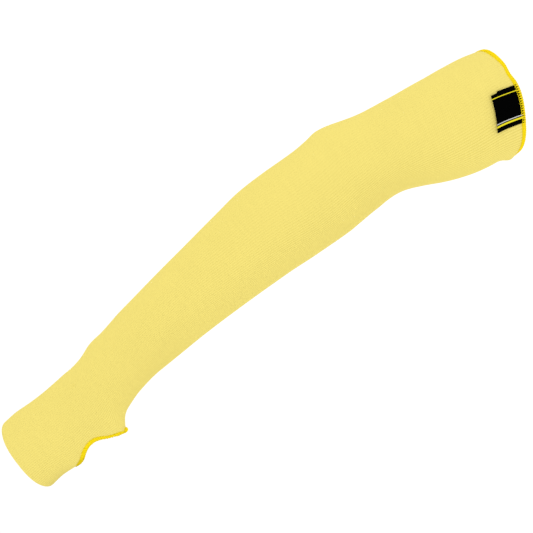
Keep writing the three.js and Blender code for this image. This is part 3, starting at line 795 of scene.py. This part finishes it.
# The way of one strand over the edge, from the needle line on the outer face (w = 0) round the
# edge to the needle line on the inner face (w = 1), as (depth in from the edge, height above the
# wall's middle): straight legs joined by half a circle. At its ends it dips into the knit.
def wrapProfile(w, reach, lift, dip):
    bend = np.pi * (wall / 2 + lift)
    total = 2 * reach + bend
    s = w * total
    angle = np.clip((s - reach) / (wall / 2 + lift), 0.0, np.pi)
    depth = np.where(s < reach, reach - s, np.where(s > reach + bend, s - reach - bend,
                                                     -(wall / 2 + lift) * np.sin(angle)))
    height = (wall / 2 + lift) * np.cos(angle)
    ending = bell(np.minimum(s, total - s), edgeThread["dipSpread"])
    return depth, height * (1 - dip * ending)


# for each edge, by turns along its rim: how far the thread reaches in, in mm, and how much shade is painted
# on it
hemEdge = {
    "reach": ((0.0, 1.5), (0.08, 2.0), (0.14, 2.3), (0.22, 2.5), (0.26, 2.5), (0.3, 2.0), (0.33, 1.4),
              (0.36, 2.2), (0.4, 3.2), (0.47, 3.5), (0.6, 2.6), (0.8, 2.3)),
    "paintedShade": ((0.0, 0.0),),
    "pastRimShade": 0.0,
}
holeEdge = {
    "reach": ((0.0, 4.2), (0.05, 4.2), (0.1, 3.1), (0.17, 2.9), (0.22, 3.3), (0.27, 2.8), (0.33, 2.6),
              (0.42, 2.6), (0.5, 2.2), (0.6, 2.8), (0.8, 2.8)),
    # painted shade: most at the hole's pointed end towards the hand, where the band turns under in shadow,
    # and a little where its edge faces away from the light
    "paintedShade": ((0.0, 0.6), (0.012, 0.5), (0.025, 0.2), (0.07, 0.16), (0.12, 0.02), (0.2, 0.0), (0.27, 0.02),
             (0.33, 0.05), (0.67, 0.05), (0.75, 0.0), (0.88, 0.02), (0.93, 0.16),
             (0.975, 0.2), (0.988, 0.5)),
    "pastRimShade": 0.07,
}
edgeThread = {
    "thick": 0.00082,
    "lift": 0.0003,  # of the strand's middle above the knit's face
    "pitch": 0.0021,
    "spread": 1.5,  # power: how late the two strands of a pair part from each other
    "stepsOver": 15,
    "corners": 8,
    "uneven": 0.00012,
    "reachUneven": 0.00012,
    "liftUneven": 0.00004,
    "thickUneven": 0.06,
    "dip": 0.45,  # how deep a strand's ends go into the knit, as a share of its height
    "dipSpread": 0.00045,
    # over what depth past the rim the painted shade grows
    "paintedShadeOver": 0.0014,
    "runSteps": 8,  # points to a stitch of a thread run along the rim
    "runCorners": 6,
    "needleThick": 0.0005,
    "needleLift": 0.00008,
    "needleSwing": 0.00012,
    "chainThick": 0.00055,
    "chainBeyond": 0.0005,
    "chainSwing": 0.00022,
    "bedLift": 0.00014,
    "bedDepth": 0.0003,
    "bedStep": 0.0012,
    "bedStepsOver": 13,
    "bedShort": 0.0002,
    "bedSlant": 0.0001,
    "edgeSpan": 2.0,  # mm of knit that give the way past the hem's edge
    "rimSpan": 0.6,  # mm of rim to each side that give the way square to the hole's rim
    "beside": 0.0004,  # a step aside, in turns or metres, for a strand's sideways direction
}
wall = knitMesh["wall"]


# places on the hem's wall from depth below the edge (metres) and height above the wall's middle
def hemPlace(turn, depth, height):
    flat = onKnit(np.maximum(depth, 0.0) * 1000 / length, turn, height - wall / 2)
    inside = onKnit(np.full_like(turn, edgeThread["edgeSpan"] / length), turn)
    edgeWay = unit(onKnit(np.zeros_like(turn), turn) - inside)
    return flat + edgeWay * np.maximum(-depth, 0.0)[..., None]


# the hole's rim by the distance run along it, in millimetres
rimAround, rimAlong = np.append(holeRim[:, 1], holeRim[0, 1]), np.append(holeRim[:, 0], holeRim[0, 0])
rimRun = np.concatenate([[0.0], np.cumsum(np.hypot(np.diff(rimAlong), np.diff(rimAround)))])
rimLength = rimRun[-1]


def holePlaceAt(turn, depth, height):
    run = (turn % 1.0) * rimLength
    span = edgeThread["rimSpan"]
    along, around = np.interp(run, rimRun, rimAlong), np.interp(run, rimRun, rimAround)
    before, after = (run - span) % rimLength, (run + span) % rimLength
    wayAlong = np.interp(after, rimRun, rimAround) - np.interp(before, rimRun, rimAround)
    wayAround = np.interp(before, rimRun, rimAlong) - np.interp(after, rimRun, rimAlong)
    size = np.hypot(wayAlong, wayAround)
    share, place = fromHole(along + wayAlong / size * depth * 1000, around + wayAround / size * depth * 1000)
    return onKnit(share, place, height - wall / 2)


# One thread that goes over an edge and back. In pair k the strand going out lies at
# k + 0.5 w^spread and the one coming back at k + 1 - 0.5 w^spread, both in pitches along the rim,
# with w from 0 at the near needle line to 1 at the far one.
def overEdge(placeAt, rim, edge, seed, extraLift=None):
    look = edgeThread
    random = np.random.default_rng(seed)
    pairs = int(round(rim / look["pitch"]))
    steps = look["stepsOver"]
    w = (np.arange(steps) + 0.5) / steps
    part = 0.5 * w ** look["spread"]
    sideways = random.normal(0.0, look["uneven"] / rim, (pairs, 2, 1)) * np.sin(np.pi * w)
    turn = np.arange(pairs)[:, None, None] + np.stack([part, 1 - part[::-1]])
    turn = turn / pairs + sideways
    way = np.broadcast_to(np.stack([w, w[::-1]]), turn.shape)
    reach = reachAt(edge, turn) + random.normal(0.0, look["reachUneven"], (pairs, 2, 1))
    lift = look["lift"] + random.normal(0.0, look["liftUneven"], (pairs, 2, 1))
    depth, height = wrapProfile(way, reach, lift, look["dip"])
    if extraLift is not None:
        height = height + extraLift(turn, height)
    points = placeAt(turn, depth, height).reshape(1, -1, 3)
    aside = placeAt(turn + look["beside"], depth, height).reshape(1, -1, 3) - points
    thick = look["thick"] / 2 * (1 + random.normal(0.0, look["thickUneven"], (pairs, 2, 1)) + 0 * w)
    paintedShade = paintedShadeAt(edge, turn, depth).reshape(1, -1)
    return sweptTubes(points, unit(aside), thick.reshape(1, -1), look["corners"], True, paintedShade)


# A thread run along the rim in short stitches: depth and height swing by the sine of the stitch
def runningThread(placeAt, rim, edge, heightAt, thick, swing, extraLift=None):
    look = edgeThread
    stitches, steps = int(round(rim / look["pitch"])), look["runSteps"]
    turn = np.arange(stitches * steps) / (stitches * steps)
    phase = 2 * np.pi * (np.arange(stitches * steps) % steps) / steps
    depth = reachAt(edge, turn) + swing * np.sin(phase)
    height = heightAt * (1 - 0.35 * np.cos(phase)) + 0.3 * swing * np.cos(phase)
    if extraLift is not None:
        height = height + extraLift(turn, height)
    points = placeAt(turn, depth, height)[None]
    across = placeAt(turn, depth + look["beside"], height)[None] - points
    radius = thick / 2 * (1 - 0.12 * np.cos(phase))
    paintedShade = paintedShadeAt(edge, turn, depth)[None]
    return sweptTubes(points, unit(across), radius[None, :], look["runCorners"], True, paintedShade)


# The under-threads that the strands lie on: one closed band over the edge, whose outer side follows
# the strands' way at bedLift and whose inner side lies bedDepth within the knit
def edgeBed(placeAt, rim, edge):
    look = edgeThread
    many, steps = int(round(rim / look["bedStep"])), look["bedStepsOver"]
    turn = (np.arange(many) / many)[:, None]
    w, reach = np.linspace(0.0, 1.0, steps)[None, :], reachAt(edge, turn) - look["bedShort"]
    outer = wrapProfile(w, reach, look["bedLift"], 0.0)
    inner = wrapProfile(w[:, ::-1], reach, -look["bedDepth"], 0.0)
    depth, height = (np.concatenate([outer[k], inner[k]], 1) for k in (0, 1))
    points = placeAt(*np.broadcast_arrays(turn, depth, height))
    numbers = np.arange(many * 2 * steps).reshape(many, 2 * steps)
    after, beside = np.roll(numbers, -1, 0), np.roll(numbers, -1, 1)
    quads = np.stack([numbers, after, np.roll(after, -1, 1), beside], -1).reshape(-1, 4)
    # v counts the under-threads, u is the way over the edge, shortened so that they slant little
    u = np.arange(2 * steps + 1) * look["bedSlant"]
    v = np.arange(many + 1.0)
    cornersU = np.stack([u[:-1], u[:-1], u[1:], u[1:]], -1)[None] + np.zeros((many, 1, 1))
    cornersV = np.stack([v[:-1], v[1:], v[1:], v[:-1]], -1)[:, None] + np.zeros((1, 2 * steps, 1))
    uvs = np.stack([cornersU, cornersV], -1).reshape(-1, 4, 2)
    return points.reshape(-1, 3), [quads], [uvs], (paintedShadeAt(edge, turn, depth) + 0 * depth).ravel()


# everything that finishes one edge: the bed, the strands, a needle line on each face and the chain
def edgeFinish(placeAt, rim, edge, seed, extraLift=None):
    look = edgeThread
    face = wall / 2
    beyond = {**edge, "reach": ((0.0, -1000 * (face + look["chainBeyond"])),)}
    thick, swing, lifted = look["needleThick"], look["needleSwing"], face + look["needleLift"]
    return [
        edgeBed(placeAt, rim, edge),
        overEdge(placeAt, rim, edge, seed, extraLift),
        runningThread(placeAt, rim, edge, lifted, thick, swing, extraLift),
        runningThread(placeAt, rim, edge, -lifted, thick, swing),
        runningThread(placeAt, rim, beyond, 0.0, look["chainThick"], look["chainSwing"]),
    ]


# The label's sewn end lies under the hem's strands and lifts them
labelForm = {
    "wide": 0.034,
    "start": 0.0024,  # from the hem's edge to where it comes out of the strands
    "long": 0.0211,
    "offset": 0.0101,  # from the middle of the near side to the thumb side
    "ribbon": 0.0004,
    "gap": 0.0003,
    "pressed": 0.0003,  # how much the strands press its sewn end together
    "lift": 0.0014,
    "skew": 3.8,  # degrees
    "step": 0.0014,
    "stepLong": 0.006,
    "tail": 0.0016,  # the length of each sewn end
    "pressOver": 0.0016,
    "clear": 0.0002,  # between the knit and the ribbon
    "underThreads": (0.0028, 0.004, 0.0012),  # where the strands rise past its side, over what, how far
    "flatRows": 26,
    "foldRows": 9,
    "columns": 34,
}
hemGirth = float(girthTable[0])
labelTurn = 0.25 - labelForm["offset"] / hemGirth


# the strands rise over the label's sewn end, most where they lie flat on the near face
def overLabel(turn, height):
    past, over, rise = labelForm["underThreads"]
    half = labelForm["wide"] / 2 / hemGirth
    inside = ease((half + past - np.abs(turn % 1.0 - labelTurn)) / over)
    onFace = np.clip(height / (wall / 2 + edgeThread["lift"]), 0.0, 1.0)
    return rise * inside * onFace


hemParts = edgeFinish(hemPlace, hemGirth, hemEdge, 11, overLabel)
hemThreads = makeThreads("hemThreads", hemParts)
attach(hemThreads, "root")
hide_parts("upper_hem_overlock")
print("hem threads made,", len(hemThreads.data.polygons), "faces")

holeRimMetres = rimLength * 0.001
holeParts = edgeFinish(holePlaceAt, holeRimMetres, holeEdge, 12)
holeThreads = makeThreads("thumbHoleThreads", holeParts)
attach(holeThreads, "root")
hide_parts("thumb_hole_overlock")
print("thumb hole threads made,", len(holeThreads.data.polygons), "faces")

# The thread's trimmed end: wound into a small round knot at the hole's pointed end
tailForm = {
    "loops": 5,
    "radius": 0.00145,
    "core": 0.00165,
    "stretch": 1.35,  # how much longer the knot is along the sleeve
    "thick": 0.0007,
    "steps": 26,
    "fromTip": 1.2,  # mm towards the wrist
    "rise": 0.0004,
}


# The winding goes round the normal at radius r(1 - z^2)^0.5 while its height is r z, with z from
# -1 to 1, about a round core that fills it; both are stretched along the sleeve
def makeTail():
    look = tailForm
    share, turn = fromHole(np.array([-holeForm["toWrist"] - look["fromTip"]]), np.array([0.0]))
    middle = onKnit(share, turn, look["rise"])[0]
    up = unit(readTable(normalTable, share, turn))[0]
    along = unit(readTable(alongTable, share, turn))[0]
    aside = np.cross(up, along)
    stretched = np.eye(3) + (look["stretch"] - 1) * np.outer(along, along)
    z = np.linspace(-0.96, 0.96, look["loops"] * look["steps"])
    angle = np.pi * look["loops"] * z
    radial = np.cos(angle)[:, None] * along + np.sin(angle)[:, None] * aside
    line = look["radius"] * (z[:, None] * up + np.sqrt(1 - z**2)[:, None] * radial)
    line = middle + line @ stretched
    coil = sweptTubes(line[None], radial[None], look["thick"] / 2, 8, False)
    z = np.linspace(-0.98, 0.98, 12)
    core = look["core"] * z[:, None] * up
    radius = look["core"] * np.sqrt(1 - z**2)
    sideways = np.broadcast_to(along, (1, *core.shape))
    corePoints, *coreFaces = sweptTubes(core[None], sideways, radius[None], 12, False)
    core = (middle + corePoints @ stretched, *coreFaces)
    return makeThreads("threadTail", [coil, core])


threadTail = makeTail()
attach(threadTail, "root")
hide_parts("overlock_tail")
print("thread tail made")

# The label: black ribbon with plain woven stripes along its length
labelLook = {
    "black": (0.0006, 0.0006, 0.0006),
    # place and half width as shares of the ribbon's width, and colour
    "stripes": ((0.15, 0.024, srgb(236, 222, 40)), (0.215, 0.011, srgb(214, 214, 210)),
                (0.855, 0.011, srgb(236, 222, 40))),
    "warps": 170.0,
    "wefts": 120.0,
    "bump": 0.00006,
    "fibre": {"Tint": 0.3},
    "roughness": 0.8,
    "specular": 0.01,
}


def labelMaterial():
    look = labelLook
    material, tree, shader = newMaterial("blackRibbon", look)
    lay = addNode(tree, "ShaderNodeUVMap", uv_map="lay")
    split = addNode(tree, "ShaderNodeSeparateXYZ", {0: lay.outputs[0]})
    warp = mathOut(tree, "SINE", mathOut(tree, "MULTIPLY", split.outputs[0], look["warps"] * math.pi))
    weft = mathOut(tree, "SINE", mathOut(tree, "MULTIPLY", split.outputs[1], look["wefts"] * math.pi))
    weave = mathOut(tree, "MULTIPLY_ADD", mathOut(tree, "MULTIPLY", warp, weft), 0.5, 0.5)
    fibre = addFibre(tree, look["fibre"])
    colour = look["black"]
    for at, half, stripe in look["stripes"]:
        band = mathOut(tree, "COMPARE", split.outputs[0], at, half)
        colour = mixedColour(tree, band, colour, stripe)
    tree.links.new(shaded(tree, colour, fibre.outputs["Shade"]), shader.inputs["Base Color"])
    addBumps(tree, shader, ((look["bump"], weave),))
    return material


# The ribbon as a grid over (run, across). Its side view goes out along the knit from under the
# hem's strands, round a half circle at the fold and back over itself; both faces lie half a
# ribbon's thickness from that line.
def makeLabel():
    form = labelForm
    fold, tail, thick = form["long"], form["tail"], form["ribbon"]
    radius = (thick + form["gap"]) / 2
    out = np.linspace(-tail, fold - radius, form["flatRows"])
    angle = np.linspace(-np.pi / 2, np.pi / 2, form["foldRows"])[1:-1]
    run = np.concatenate([out, fold - radius + radius * np.cos(angle), out[::-1]])
    height = np.concatenate([0 * out, radius + radius * np.sin(angle), 0 * out + 2 * radius])
    tangent = unit(np.stack([np.gradient(run), np.gradient(height)], 1))
    across = np.linspace(0.0, 1.0, form["columns"])
    faces, places = [], []
    for sign in (-1.0, 1.0):
        r = (run - sign * tangent[:, 1] * thick / 2)[:, None] + 0 * across[None, :]
        h = (height + sign * tangent[:, 0] * thick / 2)[:, None] + 0 * across[None, :]
        stepStart = fold - form["stepLong"]
        setIn = ease((r - stepStart) / form["step"]) * form["step"]
        around = across[None, :] * (form["wide"] - setIn) - form["wide"] / 2
        liftShare = np.maximum(r, 0.0) / fold
        skewed = r - around * math.tan(math.radians(form["skew"])) * liftShare
        share = (form["start"] + skewed) * 1000 / length
        pressed = form["pressed"] * ease(-r / form["pressOver"]) * h / (2 * radius)
        rise = form["clear"] + thick / 2 + h - pressed + form["lift"] * liftShare**2
        faces.append(onKnit(share, labelTurn + around / hemGirth, rise))
        places.append((around / form["wide"] + 0.5).ravel())
    rows, columns = faces[0].shape[:2]
    numbers = np.arange(rows * columns).reshape(rows, columns)
    quads = np.stack([numbers[:-1, :-1], numbers[1:, :-1], numbers[1:, 1:], numbers[:-1, 1:]], -1)
    allFaces = wallFaces(quads.reshape(-1, 4), rows * columns)
    u = np.concatenate(places)
    v = np.tile(np.broadcast_to((np.arange(rows) / (rows - 1))[:, None], (rows, columns)).ravel(), 2)
    uvs = np.stack([u, v], 1)[allFaces]
    points = np.concatenate([faces[0].reshape(-1, 3), faces[1].reshape(-1, 3)])
    return makePiece("foldedLabel", points, [allFaces], [uvs], labelMaterial())


foldedLabel = makeLabel()
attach(foldedLabel, "root")
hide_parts("label")
print("label made")

# Floor, sky and lights
stageSet = {
    "floorHeight": -0.72,
    "floorSize": 6.0,
    "floor": {"darker": (0.97, 0.97, 0.97), "lighter": (0.985, 0.985, 0.985), "grain": 40.0,
              "roughness": 0.9, "specular": 0.1},
    "sky": (1.0, 1.0, 1.0),
    "skyStrength": 1.085,
    "key": {"from": (-0.585, -0.761, -0.281), "angle": 90.0, "power": 0.21},
}


def makeStage():
    half = stageSet["floorSize"] / 2
    z = stageSet["floorHeight"]
    corners = np.array([(-half, -half, z), (half, -half, z), (half, half, z), (-half, half, z)])
    look = stageSet["floor"]
    material, tree, shader = newMaterial("paleFloor", look)
    place = addNode(tree, "ShaderNodeTexCoord")
    grain = addNode(tree, "ShaderNodeTexNoise", {"Vector": place.outputs["Object"], "Scale": look["grain"]})
    tone = mixedColour(tree, grain.outputs[0], look["darker"], look["lighter"])
    tree.links.new(tone, shader.inputs["Base Color"])
    mesh = bpy.data.meshes.new("paleFloor")
    mesh.from_pydata(corners.tolist(), [], [(0, 1, 2, 3)])
    mesh.materials.append(material)
    floor = bpy.data.objects.new("paleFloor", mesh)
    bpy.context.collection.objects.link(floor)


# a broad far light, so that the shade depends on the way a face looks and not on its place
def makeLight(name, look):
    lightData = bpy.data.lights.new(name, "SUN")
    lightData.angle = math.radians(look["angle"])
    lightData.energy = look["power"]
    light = bpy.data.objects.new(name, lightData)
    aim = unit(np.array(look["from"]))
    sideways = unit(np.cross((0.0, 0.0, 1.0), aim))
    light.matrix_world = Matrix((sideways, np.cross(aim, sideways), aim)).transposed().to_4x4()
    bpy.context.collection.objects.link(light)


makeStage()
makeLight("keyLight", stageSet["key"])
world = bpy.data.worlds.new("softWhite")
world.use_nodes = True
background = world.node_tree.nodes["Background"]
background.inputs["Color"].default_value = (*stageSet["sky"], 1.0)
background.inputs["Strength"].default_value = stageSet["skyStrength"]
bpy.context.scene.world = world
bpy.context.scene.view_settings.view_transform = "Standard"
bpy.context.scene.view_settings.look = "None"
print("stage and lights set")
